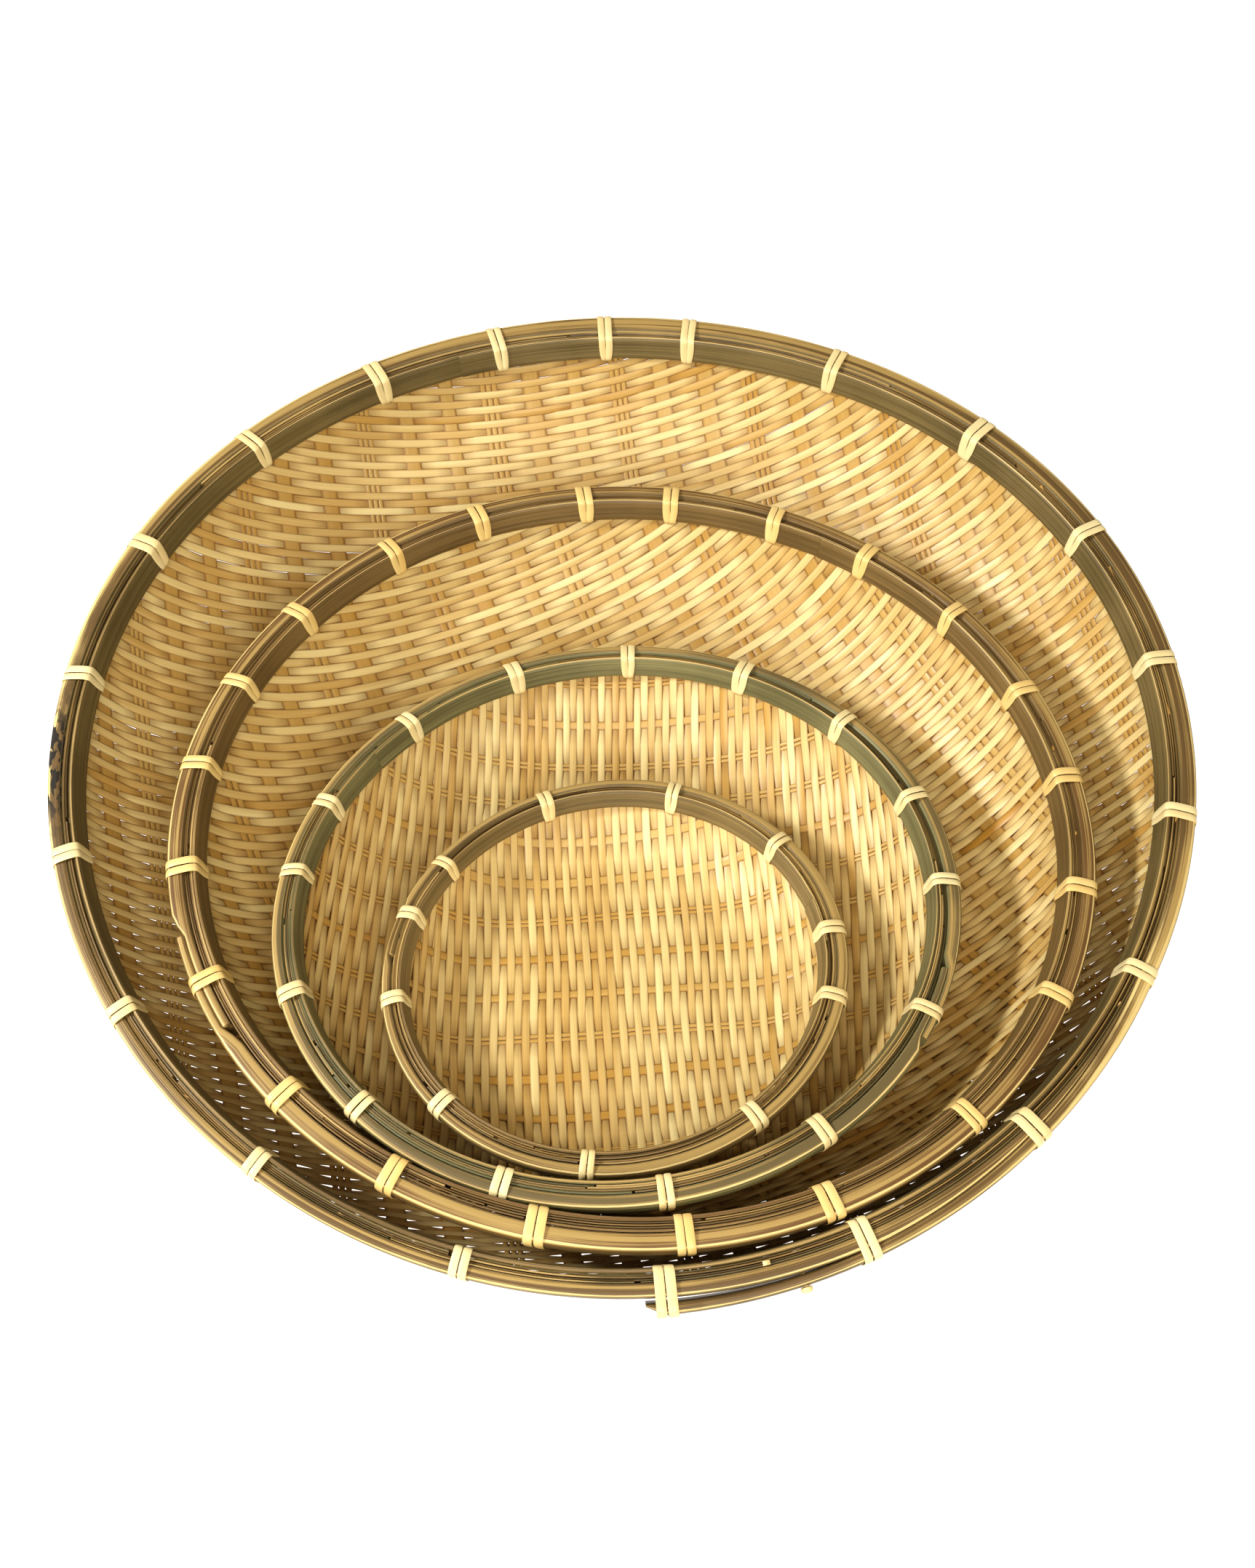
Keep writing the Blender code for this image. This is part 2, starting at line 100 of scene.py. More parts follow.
class Tray:
    """One tray: its rim, the curve of its wall and the way its mat lies."""

    def __init__(self, number, radius, share, lobes, bulge, bulge_azimuth, inner_splice,
                 outer_splice, tie_degrees, nest, mat_turn, stake_parts, outer_thickness,
                 swell, rise):
        self.number = number
        self.prefix = f"tray_{number}"
        self.radius = radius
        self.share = share
        self.lobes = lobes
        self.bulge = bulge / radius
        self.bulge_azimuth = math.radians(bulge_azimuth)
        self.inner_splice = math.radians(inner_splice)
        self.outer_splice = math.radians(outer_splice)
        self.ties = [math.radians(degrees) for degrees in tie_degrees]
        self.nest = nest
        self.mat_turn = math.radians(mat_turn)
        self.stake_parts = stake_parts
        self.face = WALL / 2 + RIM_GAP
        self.inner_face = -(self.face + INNER_REACH * share)
        self.outer_thickness = outer_thickness
        self.outer_face = self.face + outer_thickness
        self.swell = swell
        self.rise = rise
        rim_radius = radius - self.inner_face * math.sin(RIM_SLOPE)
        self.floor_radius = FLOOR_SHARE * rim_radius
        self.bend = (rim_radius - self.floor_radius) / math.sin(RIM_SLOPE)
        self.rim_radius = rim_radius
        self.rim_reach = self.floor_radius + self.bend * RIM_SLOPE
        self.weave_reach = self.rim_reach - WEAVE_EDGE_DROP
        self.matrix = Matrix.Identity(4)

    def settle(self, host):
        """Lay the tray in its host: slid forward, its front rim raised."""
        sideways, forwards, tilt = self.nest
        heel = self.floor_radius * self.out_of_round(math.pi / 2) * math.sin(tilt)
        place = Matrix.Translation((sideways, forwards, WALL + NEST_GAP + heel))
        self.matrix = host.matrix @ place @ Matrix.Rotation(-tilt, 4, "X")

    def out_of_round(self, azimuth):
        return 1.0 + self.bulge * np.cos(self.lobes * (azimuth - self.bulge_azimuth))

    def reach(self, radius):
        """Distance along the bowl from its middle to a plan radius."""
        inside = np.clip((radius - self.floor_radius) / self.bend, 0.0, math.sin(RIM_SLOPE))
        beyond = np.maximum(radius - self.rim_radius, 0.0) / math.cos(RIM_SLOPE)
        return np.minimum(radius, self.floor_radius) + self.bend * np.arcsin(inside) + beyond

    def wall(self, azimuth, reach, lift):
        """Points at a distance along the bowl, lifted off its middle layer, and the normals."""
        slope = np.clip((reach - self.floor_radius) / self.bend, 0.0, RIM_SLOPE)
        flat = np.minimum(reach, self.floor_radius)
        arc = self.bend - lift
        radius = np.where(slope > 0, self.floor_radius + arc * np.sin(slope), flat)
        height = WALL / 2 + self.bend - arc * np.cos(slope)
        points = self.ring(azimuth, radius, height)
        normals = np.stack([-np.sin(slope) * np.cos(azimuth), -np.sin(slope) * np.sin(azimuth),
                            np.cos(slope)], axis=-1)
        return points, normals

    def rim(self, azimuth, drop, depth):
        """Points on the rim: a drop down from its top and a depth outwards through it."""
        even, uneven, uneven_at, front_rise, back_rise = (*self.swell, *self.rise)
        wide = even + uneven * np.cos(azimuth - math.radians(uneven_at))
        depth = depth + wide * np.clip(depth / self.outer_face, 0.0, 1.3)
        high = front_rise + back_rise * np.maximum(np.sin(azimuth), 0.0)
        across = np.clip((depth - self.inner_face) / (self.outer_face - self.inner_face), 0.0, 1.2)
        drop = drop - high * across * np.clip(1.0 - drop / (HOOP_HEIGHT * self.share), 0.0, 1.2)
        slope = RIM_SLOPE - drop / self.bend
        radius = self.floor_radius + (self.bend + depth) * np.sin(slope)
        height = WALL / 2 + self.bend - (self.bend + depth) * np.cos(slope)
        return self.ring(azimuth, radius, height)

    def ring(self, azimuth, radius, height):
        scaled = radius * self.out_of_round(azimuth)
        shape = np.broadcast(scaled, height, azimuth).shape
        parts = (scaled * np.cos(azimuth), scaled * np.sin(azimuth), height)
        return np.stack([np.broadcast_to(part, shape) for part in parts], axis=-1)


TRAYS = (
    Tray(1, 0.300, 1.00, 3, 2.6 * MM, 30, 110, 294,
         (9, 27, 45, 64, 82, 92, 105, 120, 137, 155,
          173, 195, 214, 235, 256, 274, 292, 311, 331, 350),
         (0.0, 0.0, 0.0), 12.0, (1, 1, 3), 8.0 * MM,
         (0.2 * MM, 2.6 * MM, 65), (1.6 * MM, 2.6 * MM)),
    Tray(2, 0.233, 0.94, 2, 3.2 * MM, -21, 60, 212,
         (6, 21, 37, 53, 68, 84, 97, 113, 127, 144, 158,
          172, 188, 205, 224, 241, 259, 276, 293, 313, 333, 349),
         (6.0 * MM, -52.0 * MM, math.radians(3.0)), 26.0, (1, 1, 2), 6.4 * MM,
         (1.6 * MM, 1.4 * MM, 250), (1.2 * MM, 0.8 * MM)),
    Tray(3, 0.169, 0.86, 2, 3.8 * MM, 31, 145, 345,
         (3, 22, 43, 65, 88, 111, 135, 159, 175, 200, 225, 252, 278, 306, 336),
         (-8.0 * MM, -47.0 * MM, math.radians(3.0)), 90.0, (2, 1, 2), 5.2 * MM,
         (0.9 * MM, 1.5 * MM, 310), (0.8 * MM, 0.4 * MM)),
    Tray(4, 0.113, 0.78, 2, 3.2 * MM, 55, 20, 178,
         (10, 41, 74, 110, 146, 165, 192, 225, 264, 307, 349),
         (-1.0 * MM, -35.0 * MM, math.radians(1.8)), 94.0, (1, 2, 1), 4.7 * MM,
         (0.4 * MM, 1.3 * MM, 320), (0.6 * MM, 0.0)),
)


def settle_trays():
    for host, tray in zip(TRAYS, TRAYS[1:]):
        tray.settle(host)
    for tray in TRAYS:
        low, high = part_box(f"{tray.prefix}_inner_hoop")
        middle = tray.matrix @ Vector((0.0, 0.0, 0.0))
        off = abs((low.x + high.x) / 2 - middle.x)
        if off > 10 * MM:
            raise RuntimeError(f"{tray.prefix} isn't where the design puts it: {off:.4f} m off")


# --- Settings ---

def length(name, description, millimetres):
    return FloatProperty(name=name, description=description, default=millimetres * MM,
                         unit="LENGTH")


def colour(name, description, default):
    return FloatVectorProperty(name=name, description=description, default=default,
                               subtype="COLOR", size=3)


class TrayWeaveSettings(bpy.types.PropertyGroup):
    """Sizes of the strips in the woven mats."""

    weft_pitch: length("Weft pitch", "From one weft to the next", 4.75)
    small_weft_pitch: length("Small tray weft pitch",
                             "From one weft to the next in the two small trays", 4.3)
    weft_width_share: FloatProperty(name="Weft width", description="Width as a share of the pitch",
                                    default=1.08, subtype="FACTOR")
    stake_pitch: length("Stake pitch", "From one stake to the next", 28.0)
    small_stake_pitch: length("Small tray stake pitch",
                              "From one stake to the next in the small trays", 25.0)
    stake_width: length("Stake width", "Width of one whole stake", 11.0)
    weft_thickness: length("Weft thickness", "Thickness of a weft strip", 0.75)
    stake_thickness: length("Stake thickness", "Thickness of a stake strip", 0.8)
    wave: length("Weft wave", "How far a weft rises over a stake", 0.65)
    seed: IntProperty(name="Seed", description="Chooses the small irregularities of the weave",
                      default=7)


class TrayRimSettings(bpy.types.PropertyGroup):
    """Sizes of the hoops, the slivers between them and the cane ties."""

    hoop_height: length("Hoop height", "Height of the largest tray's hoops", HOOP_HEIGHT / MM)
    inner_thickness: length("Inner hoop thickness", "Thickness of the largest tray's inner hoop",
                            2.3)
    sliver_count: IntProperty(name="Slivers", description="Slivers side by side between the hoops",
                              default=4)
    turn_width: length("Cane width", "Width of one turn of a cane tie", 4.6)
    turn_spacing: length("Turn spacing", "From one turn of a tie to the next", 4.95)
    cane_thickness: length("Cane thickness", "Thickness of the tie's cane", 0.8)


class TrayFinishSettings(bpy.types.PropertyGroup):
    """Colours of the bamboo and the cane."""

    weft_light: colour("Weft, light", "Palest weft strips", (0.90, 0.75, 0.39))
    weft_dark: colour("Weft, dark", "Deepest golden weft strips", (0.52, 0.28, 0.045))
    skin: colour("Hoop skin", "Olive skin of the hoops", (0.125, 0.103, 0.044))
    cut_edge: colour("Cut edge", "Cream cut edge of split bamboo", (0.80, 0.62, 0.28))
    cane: colour("Cane", "Pale cane of the ties", (0.88, 0.78, 0.47))


class TrayStageSettings(bpy.types.PropertyGroup):
    """Camera and lights."""

    elevation: FloatProperty(name="Elevation", description="Height angle of the camera",
                             default=math.radians(58.2), subtype="ANGLE")
    distance: FloatProperty(name="Distance", description="Camera to the middle of its view",
                            default=1.139, unit="LENGTH")
    lens: FloatProperty(name="Lens", description="Focal length in millimetres", default=43.41)
    key_power: FloatProperty(name="Key light", description="Power of the main light in watts",
                             default=26.0)


# --- Meshes ---

# Corners of a split strip's section, in halves of its width and of its thickness.
STRIP_OUTLINE = np.array([(-1.0, 0.1), (-0.6, 0.9), (0.6, 0.9), (1.0, 0.1), (0.85, -0.9),
                          (-0.85, -0.9)])


class Batch:
    """Collects lofted strips into one mesh with their grain coordinates."""

    def __init__(self):
        self.points = []
        self.faces = []
        self.fibre = []
        self.shade = []
        self.count = 0

    def loft(self, rings, fibre, shade, closed=False):
        """Skin a row of matching outlines; fibre is (along, across, seed) at every corner."""
        length, corners = rings.shape[:2]
        outline = rings[0] - rings[0].mean(axis=0)
        facing = np.cross(outline, np.roll(outline, -1, axis=0)).sum(axis=0)
        if np.dot(facing, rings[1].mean(axis=0) - rings[0].mean(axis=0)) < 0:
            rings, fibre, shade = rings[:, ::-1], fibre[:, ::-1], shade[:, ::-1]
        index = self.count + np.arange(length * corners).reshape(length, corners)
        first = index if closed else index[:-1]
        second = np.roll(index, -1, axis=0) if closed else index[1:]
        quads = np.stack([first, np.roll(first, -1, axis=1), np.roll(second, -1, axis=1), second],
                         axis=-1).reshape(-1, 4)
        self.faces.extend(quads.tolist())
        if not closed:
            self.faces.append(index[0][::-1].tolist())
            self.faces.append(index[-1].tolist())
        self.points.append(rings.reshape(-1, 3))
        self.fibre.append(np.broadcast_to(fibre, rings.shape).reshape(-1, 3))
        self.shade.append(np.broadcast_to(shade, rings.shape).reshape(-1, 3))
        self.count += length * corners

    def strip(self, path, normals, widths, thickness, seed, tone, recess_shade):
        """A flat strip with a slightly crowned face along a path; shade.y carries its painted shade
        in recesses, and edges are marked in shade.z for darkening.
        """
        outline = STRIP_OUTLINE
        tangents = np.gradient(path, axis=0)
        sides = np.cross(tangents, normals)
        sides /= np.linalg.norm(sides, axis=1, keepdims=True)
        ups = np.cross(sides, tangents)
        ups /= np.linalg.norm(ups, axis=1, keepdims=True)
        half_widths = np.broadcast_to(widths, len(path))[:, None] / 2 * outline[:, 0]
        rises = np.broadcast_to(outline[:, 1] * thickness / 2, half_widths.shape)
        rings = (path[:, None] + sides[:, None] * half_widths[:, :, None]
                 + ups[:, None] * rises[:, :, None])
        steps = np.linalg.norm(np.diff(path, axis=0), axis=1)
        along = np.concatenate([[0.0], np.cumsum(steps)])
        fibre = np.empty(rings.shape)
        fibre[:, :, 0] = along[:, None]
        fibre[:, :, 1] = half_widths
        fibre[:, :, 2] = seed
        shade = np.empty(rings.shape)
        shade[:, :, 0] = tone
        shade[:, :, 1] = np.broadcast_to(recess_shade, len(path))[:, None]
        shade[:, :, 2] = np.abs(outline[:, 0])
        self.loft(rings, fibre, shade)

    def build(self, name, tray, material, replaced):
        """Make the object in the nest, hang it on its tray's body and hide the parts it stands in
        for.
        """
        mesh = bpy.data.meshes.new(name)
        mesh.from_pydata(np.concatenate(self.points).tolist(), [], self.faces)
        for key, rows in (("fibre", self.fibre), ("shade", self.shade)):
            attribute = mesh.attributes.new(key, "FLOAT_VECTOR", "POINT")
            attribute.data.foreach_set("vector", np.concatenate(rows).astype(np.float32).ravel())
        mesh.transform(tray.matrix)
        mesh.shade_smooth()
        mesh.set_sharp_from_angle(angle=math.radians(50))
        mesh.materials.append(material)
        piece = bpy.data.objects.new(name, mesh)
        bpy.context.scene.collection.objects.link(piece)
        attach(piece, tray.prefix)
        for node in replaced:
            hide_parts(node)
        return piece


# --- Shader building ---

def operator(operation, swapped=False):
    """An arithmetic method that adds a Math node; swapped for the reflected form."""
    def combine(self, other):
        first, second = (other, self) if swapped else (self, other)
        return self.finish.node("ShaderNodeMath", {"operation": operation}, {0: first, 1: second})
    return combine


class Wire:
    """A socket that can be used in Python arithmetic."""

    def __init__(self, finish, socket):
        self.finish = finish
        self.socket = socket

    __add__ = operator("ADD")
    __radd__ = operator("ADD", swapped=True)
    __sub__ = operator("SUBTRACT")
    __rsub__ = operator("SUBTRACT", swapped=True)
    __mul__ = operator("MULTIPLY")
    __rmul__ = operator("MULTIPLY", swapped=True)

    def clamped(self):
        return self.finish.node("ShaderNodeClamp", {}, {"Value": self})


class Finish:
    """One material and the means to build its nodes."""

    def __init__(self, name):
        self.material = bpy.data.materials.new(name)
        self.material.use_nodes = True
        self.tree = self.material.node_tree
        self.shader = self.tree.nodes["Principled BSDF"]

    def node(self, kind, settings, inputs, output=0):
        """Add a node: its settings first, then the values or links of its sockets."""
        node = self.tree.nodes.new(kind)
        for key, value in settings.items():
            setattr(node, key, value)
        for key, value in inputs.items():
            if isinstance(value, Wire):
                self.tree.links.new(value.socket, node.inputs[key])
            else:
                node.inputs[key].default_value = value
        return Wire(self, node.outputs[output])

    def mix(self, share, first, second):
        first, second = [(*colour, 1.0) if isinstance(colour, tuple) else colour
                         for colour in (first, second)]
        return self.node("ShaderNodeMix", {"data_type": "RGBA"}, {0: share, 6: first, 7: second}, 2)

    def attribute(self, name):
        """The three numbers of a vector attribute."""
        vector = self.node("ShaderNodeAttribute", {"attribute_name": name}, {}, "Vector")
        split = self.node("ShaderNodeSeparateXYZ", {}, {0: vector})
        return [Wire(self, socket) for socket in split.socket.node.outputs]

    def cloud(self, vector, scale, detail):
        return self.node("ShaderNodeTexNoise", {},
                         {"Vector": vector, "Scale": scale, "Detail": detail})

    def noise(self, x, y, z, detail=2.0):
        vector = self.node("ShaderNodeCombineXYZ", {}, {0: x, 1: y, 2: z})
        return self.cloud(vector, 1.0, detail)

    def blotch(self, scale, detail=2.0):
        """Slow variation through space."""
        place = self.node("ShaderNodeTexCoord", {}, {}, "Object")
        return self.cloud(place, scale, detail)

    def fade(self, value, low, high):
        """0 below low, 1 above high."""
        return self.node("ShaderNodeMapRange", {"interpolation_type": "SMOOTHSTEP"},
                         {"Value": value, "From Min": low, "From Max": high})

    def finish(self, colour, roughness, height, bump_distance, coat=0.0):
        bump = self.node("ShaderNodeBump", {}, {"Strength": 0.6, "Distance": bump_distance,
                                                "Height": height})
        for wire, socket in ((colour, "Base Color"), (roughness, "Roughness"), (bump, "Normal")):
            self.tree.links.new(wire.socket, self.shader.inputs[socket])
        self.shader.inputs["Coat Weight"].default_value = coat
        self.shader.inputs["Coat Roughness"].default_value = 0.3
        return self.material


def tinted(colour, red=1.0, green=1.0, blue=1.0):
    return (colour[0] * red, colour[1] * green, colour[2] * blue)


def woven_finish(name, light, dark, gloss):
    """Split bamboo strips: long fibres, a tone of its own for each strip, painted shade in the
    dips, darker edges (partly wear, partly painted shade).
    """
    finish = Finish(name)
    along, across, seed = finish.attribute("fibre")
    tone, recess_shade, edge = finish.attribute("shade")
    strands = finish.noise(along * 22, across * 2400, seed * 31, 3.0)
    bands = finish.noise(along * 9, across * 300, seed * 17)
    patches = finish.blotch(9.0)
    share = (tone + (strands - 0.5) * 0.55 + (bands - 0.5) * 0.5 + (patches - 0.5) * 0.35).clamped()
    colour = finish.mix(share, dark, light)
    # Painted shade: brown where a strip dips under a crossing strip, and towards its edges, which
    # stands partly for wear and partly for the shade in the seams between strips.
    brown = (dark[0] * 0.42, dark[1] * 0.3, dark[2] * 0.2)
    shadow = (recess_shade * 0.5 + finish.fade(edge, 0.62, 1.0) * 0.62).clamped()
    colour = finish.mix(shadow, colour, brown)
    roughness = (strands * 0.25 + 0.36 - gloss * 0.1).clamped()
    return finish.finish(colour, roughness, strands + bands * 0.6, 0.25 * MM, gloss)


def hoop_finish(name, skin, cut, stripe, stain_colour):
    """Hoop bamboo: olive skin, a tan top with brown fibres, cream cut edges, dark stains."""
    finish = Finish(name)
    along, across, seed = finish.attribute("fibre")
    tone, cut_share, stain = finish.attribute("shade")
    strands = finish.noise(along * 7, across * 1500, seed * 13, 4.0)
    streaks = finish.noise(along * 5, across * 420, seed * 19, 3.0)
    stripes = finish.noise(along * 2.2, across * 330, seed * 29, 3.0)
    patches = finish.blotch(14.0, 4.0)
    pale = tuple(min(1.0, channel * 2.3 + 0.015) for channel in skin)
    skin_share = (tone * 0.4 + (strands - 0.5) * 0.8 + (streaks - 0.5) * 1.5
                  + (patches - 0.5) * 1.2 + 0.12).clamped()
    skin_colour = finish.mix(skin_share, skin, pale)
    tan = (cut[0] * 0.56, cut[1] * 0.5, cut[2] * 0.42)
    brown_share = finish.fade(stripes + (strands - 0.5) * 0.5 + (patches - 0.5) * 0.3, 0.42, 0.6)
    top_colour = finish.mix(brown_share, stripe, tan)
    ragged = cut_share + (streaks - 0.5) * 0.5 + (patches - 0.5) * 0.4
    colour = finish.mix(finish.fade(ragged, 0.15, 0.35), skin_colour, top_colour)
    colour = finish.mix(finish.fade(ragged, 0.72, 0.86), colour, cut)
    spots = finish.noise(along * 110, across * 210, seed, 4.0)
    mark = (finish.fade(spots, 0.44, 0.52) * stain).clamped()
    colour = finish.mix(mark, colour, stain_colour)
    roughness = (strands * 0.3 + 0.3 + cut_share * 0.12).clamped()
    return finish.finish(colour, roughness, strands + streaks, 0.4 * MM, 0.1)


def cane_finish(name, light):
    """Pale cane: fine fibres, a little yellow, painted shade where the tail goes into its hole and
    a little along the edges.
    """
    finish = Finish(name)
    along, across, seed = finish.attribute("fibre")
    tone, recess_shade, edge = finish.attribute("shade")
    strands = finish.noise(along * 30, across * 1900, seed * 11, 3.0)
    bands = finish.noise(along * 60, across * 120, seed * 7)
    warm = (light[0] * 0.92, light[1] * 0.74, light[2] * 0.5)
    share = (tone + (strands - 0.5) * 0.7 + (bands - 0.5) * 0.4).clamped()
    colour = finish.mix(share, warm, light)
    # Painted shade: brown where the cane goes into its hole, and a little along the edges of each
    # turn.
    brown = (light[0] * 0.34, light[1] * 0.2, light[2] * 0.1)
    shadow = (finish.fade(recess_shade, 0.3, 1.0) * 0.9 + finish.fade(edge, 0.8, 1.0) * 0.2).clamped()
    colour = finish.mix(shadow, colour, brown)
    roughness = (strands * 0.25 + 0.3).clamped()
    return finish.finish(colour, roughness, strands, 0.2 * MM, 0.1)


# --- The woven bowl ---

# The damped search that lays the mat: its number of steps and the share taken of each.
LAYING_STEPS = 60
LAYING_SHARE = 0.28


def drape(tray, u, v):
    """Lay points of the flat mat on the bowl: azimuth and reach of every point.

    Across a wall the mat keeps its spacing; along a wall its strips stay straight
    in plan.  The plan place is found by a damped search.
    """
    x, y = u.copy(), v.copy()
    for _ in range(LAYING_STEPS):
        radius = np.maximum(np.hypot(x, y), 1e-6)
        extra = tray.reach(radius) / radius - 1.0
        x += LAYING_SHARE * (u / (1.0 + extra * (x / radius) ** 2) - x)
        y += LAYING_SHARE * (v / (1.0 + extra * (y / radius) ** 2) - y)
    return np.arctan2(y, x) + tray.mat_turn, tray.reach(np.hypot(x, y))


def strand_ends(tray, offsets, stakes):
    """Where strands at these offsets from the middle meet the weave's edge."""
    run = np.linspace(0.0, tray.weave_reach * 1.05, 90)
    along, across = np.meshgrid(run, offsets)
    _, reach = drape(tray, across, along) if stakes else drape(tray, along, across)
    return np.array([np.interp(tray.weave_reach, row, run, left=0.0) if row[0] < tray.weave_reach
                     else 0.0 for row in reach])


class Mat:
    """Places of the wefts and stakes of one tray's mat."""

    def __init__(self, tray, settings):
        self.random = np.random.default_rng(settings.seed * 10 + tray.number)
        small = tray.number > 2
        self.weft_pitch = settings.small_weft_pitch if small else settings.weft_pitch
        self.tray = tray
        half_wefts = int(tray.weave_reach / self.weft_pitch)
        self.wefts = (np.arange(-half_wefts, half_wefts + 1) + 0.25) * self.weft_pitch
        self.wefts += self.random.normal(0, 0.012, len(self.wefts)) * self.weft_pitch
        stake_pitch = settings.small_stake_pitch if small else settings.stake_pitch
        half_stakes = int(tray.weave_reach / stake_pitch)
        self.stakes = (np.arange(-half_stakes, half_stakes + 1) + 0.1) * stake_pitch
        self.stakes += self.random.normal(0, 0.7 * MM, len(self.stakes))
        self.stake_widths = settings.stake_width * self.random.uniform(0.85, 1.1, len(self.stakes))
        if small:
            self.stake_widths *= 0.48

    def over(self, weft, stake):
        """1 where the weft passes over the stake, -1 where it passes under."""
        return 1 if (weft + stake) % 2 else -1


def weave_wefts(mat, settings, batch):
    tray = mat.tray
    random = mat.random
    ends = strand_ends(tray, mat.wefts, stakes=False)
    gaps = (mat.stakes[1:] + mat.stakes[:-1]) / 2
    for number, (offset, end) in enumerate(zip(mat.wefts, ends)):
        if end < SHORTEST_STRIP:
            continue
        spots, lifts = [], []
        for index, (stake, width) in enumerate(zip(mat.stakes, mat.stake_widths)):
            side = mat.over(number, index)
            spots += [stake - width * 0.5, stake, stake + width * 0.5]
            lifts += [0.9 * side, side, 0.9 * side]
            if index < len(gaps):
                spots.append(gaps[index])
                lifts.append(0.05 * side)
        spots, lifts = np.array(spots), np.array(lifts)
        inside = (spots > -end + 1 * MM) & (spots < end - 1 * MM)
        run = np.concatenate([[-end], spots[inside], [end]])
        lift = np.interp(run, spots, lifts)
        sway = 0.14 * MM * np.sin(run * random.uniform(8, 20) + random.uniform(0, 6))
        azimuth, reach = drape(tray, run, np.full(len(run), offset) + sway)
        height = lift * settings.wave * random.uniform(0.9, 1.1, len(run))
        points, normals = tray.wall(azimuth, reach, height)
        tangents = np.gradient(points, axis=0)
        sides = np.cross(tangents, normals)
        sides /= np.linalg.norm(sides, axis=1, keepdims=True)
        roll = np.clip(random.normal(0.06, 0.04), -0.1, 0.12)
        leaning = normals * math.cos(roll) + sides * math.sin(roll)
        beside = [tray.wall(*drape(tray, run, np.full(len(run), offset + step)), 0.0)[0]
                  for step in (-mat.weft_pitch / 2, mat.weft_pitch / 2)]
        forwards = tangents / np.linalg.norm(tangents, axis=1, keepdims=True)
        spacing = np.linalg.norm(np.cross(beside[1] - beside[0], forwards), axis=1)
        width = spacing * settings.weft_width_share * random.uniform(0.94, 1.05)
        # Painted shade where the weft dips under a stake.
        recess_shade = np.clip(-lift, 0.0, 1.0)
        batch.strip(points, leaning, width, settings.weft_thickness, number,
                    random.normal(0.55, 0.16), recess_shade)


def weave_stakes(mat, settings, batch):
    tray = mat.tray
    random = mat.random
    ends = strand_ends(tray, mat.stakes, stakes=True)
    for number, (offset, end, width) in enumerate(zip(mat.stakes, ends, mat.stake_widths)):
        if end < SHORTEST_STRIP:
            continue
        inside = np.abs(mat.wefts) < end - 1 * MM
        run = np.concatenate([[-end], mat.wefts[inside], [end]])
        sides = [-mat.over(weft, number) for weft in np.nonzero(inside)[0]]
        lift = np.concatenate([[0.0], sides, [0.0]]) * 0.12 * MM
        parts = tray.stake_parts[number % len(tray.stake_parts)]
        pitch = width / parts
        tone = random.normal(0.5, 0.14)
        for part in range(parts):
            centre = offset + (part - (parts - 1) / 2) * pitch
            azimuth, reach = drape(tray, np.full(len(run), centre), run)
            points, normals = tray.wall(azimuth, reach, lift)
            strip_width = pitch - (0.35 * MM if parts > 1 else 0.0)
            # The 0.25 gives the stakes a little painted shade all along, as they lie under the
            # wefts.
            batch.strip(points, normals, strip_width, settings.stake_thickness,
                        200 + number * 4 + part, tone + random.normal(0, 0.05), 0.25)


# --- Hoops and slivers ---

def turns(start, end, radius, step=7 * MM):
    return np.linspace(start, end, max(3, int((end - start) * radius / step)))


def rim_strip(batch, tray, azimuth, outline, seed, tone, stain=0.0):
    """A strip round the rim; outline: each corner's (drop, depth, cut), fixed or per azimuth."""
    outline = np.broadcast_to(np.asarray(outline, float), (len(azimuth), *np.shape(outline)[-2:]))
    drops, depths, cuts = outline[:, :, 0], outline[:, :, 1], outline[:, :, 2]
    rings = tray.rim(azimuth[:, None], drops, depths)
    steps = np.hypot(np.diff(drops, axis=1), np.diff(depths, axis=1))
    across = np.concatenate([np.zeros((len(azimuth), 1)), np.cumsum(steps, axis=1)], axis=1)
    fibre = np.stack([np.broadcast_to((azimuth * tray.radius)[:, None], drops.shape), across,
                      np.full(drops.shape, float(seed))], axis=-1)
    stains = np.broadcast_to(np.asarray(stain, float).reshape(-1, 1), drops.shape)
    shade = np.stack([np.full(drops.shape, tone), cuts, stains], axis=-1)
    batch.loft(rings, fibre, shade)


def hoop_outline(top, bottom, low, high, bulge):
    """Section of a hoop: cut top edge, skin outside, with eased corners."""
    height = bottom - top
    ease = min(0.6 * MM, (high - low) * 0.3)
    skin = [(top + ease, high - ease * 0.2 + bulge * 0.3, 0.0)]
    skin += [(top + height * share, high + bulge * math.sin(math.pi * share), 0.0)
             for share in (0.15, 0.35, 0.5, 0.65, 0.85)]
    skin += [(bottom - ease, high - ease * 0.2 + bulge * 0.3, 0.0)]
    wide = high - low
    return ([(top + 0.1 * MM, low + ease, 0.5), (top - 0.1 * MM, low + wide * 0.35, 0.45),
             (top - 0.15 * MM, low + wide * 0.7, 0.5), (top, high - ease, 1.0)]
            + skin
            + [(bottom, high - ease, 0.6), (bottom, low + ease, 0.6),
               (bottom - ease, low, 0.0), (bottom - height / 2, low, 0.0), (top + ease, low, 0.0)])


def scarfed_shares(azimuth, start, end):
    """Share of a hoop's thickness that each end gives up to the other, outside and inside."""
    near = np.clip((start + SCARF + SCARF_EASE - azimuth) / SCARF_EASE, 0.0, 1.0) * SCARF_LOSS
    far = np.clip((azimuth - (end - SCARF - SCARF_EASE)) / SCARF_EASE, 0.0, 1.0) * SCARF_LOSS
    return near, far


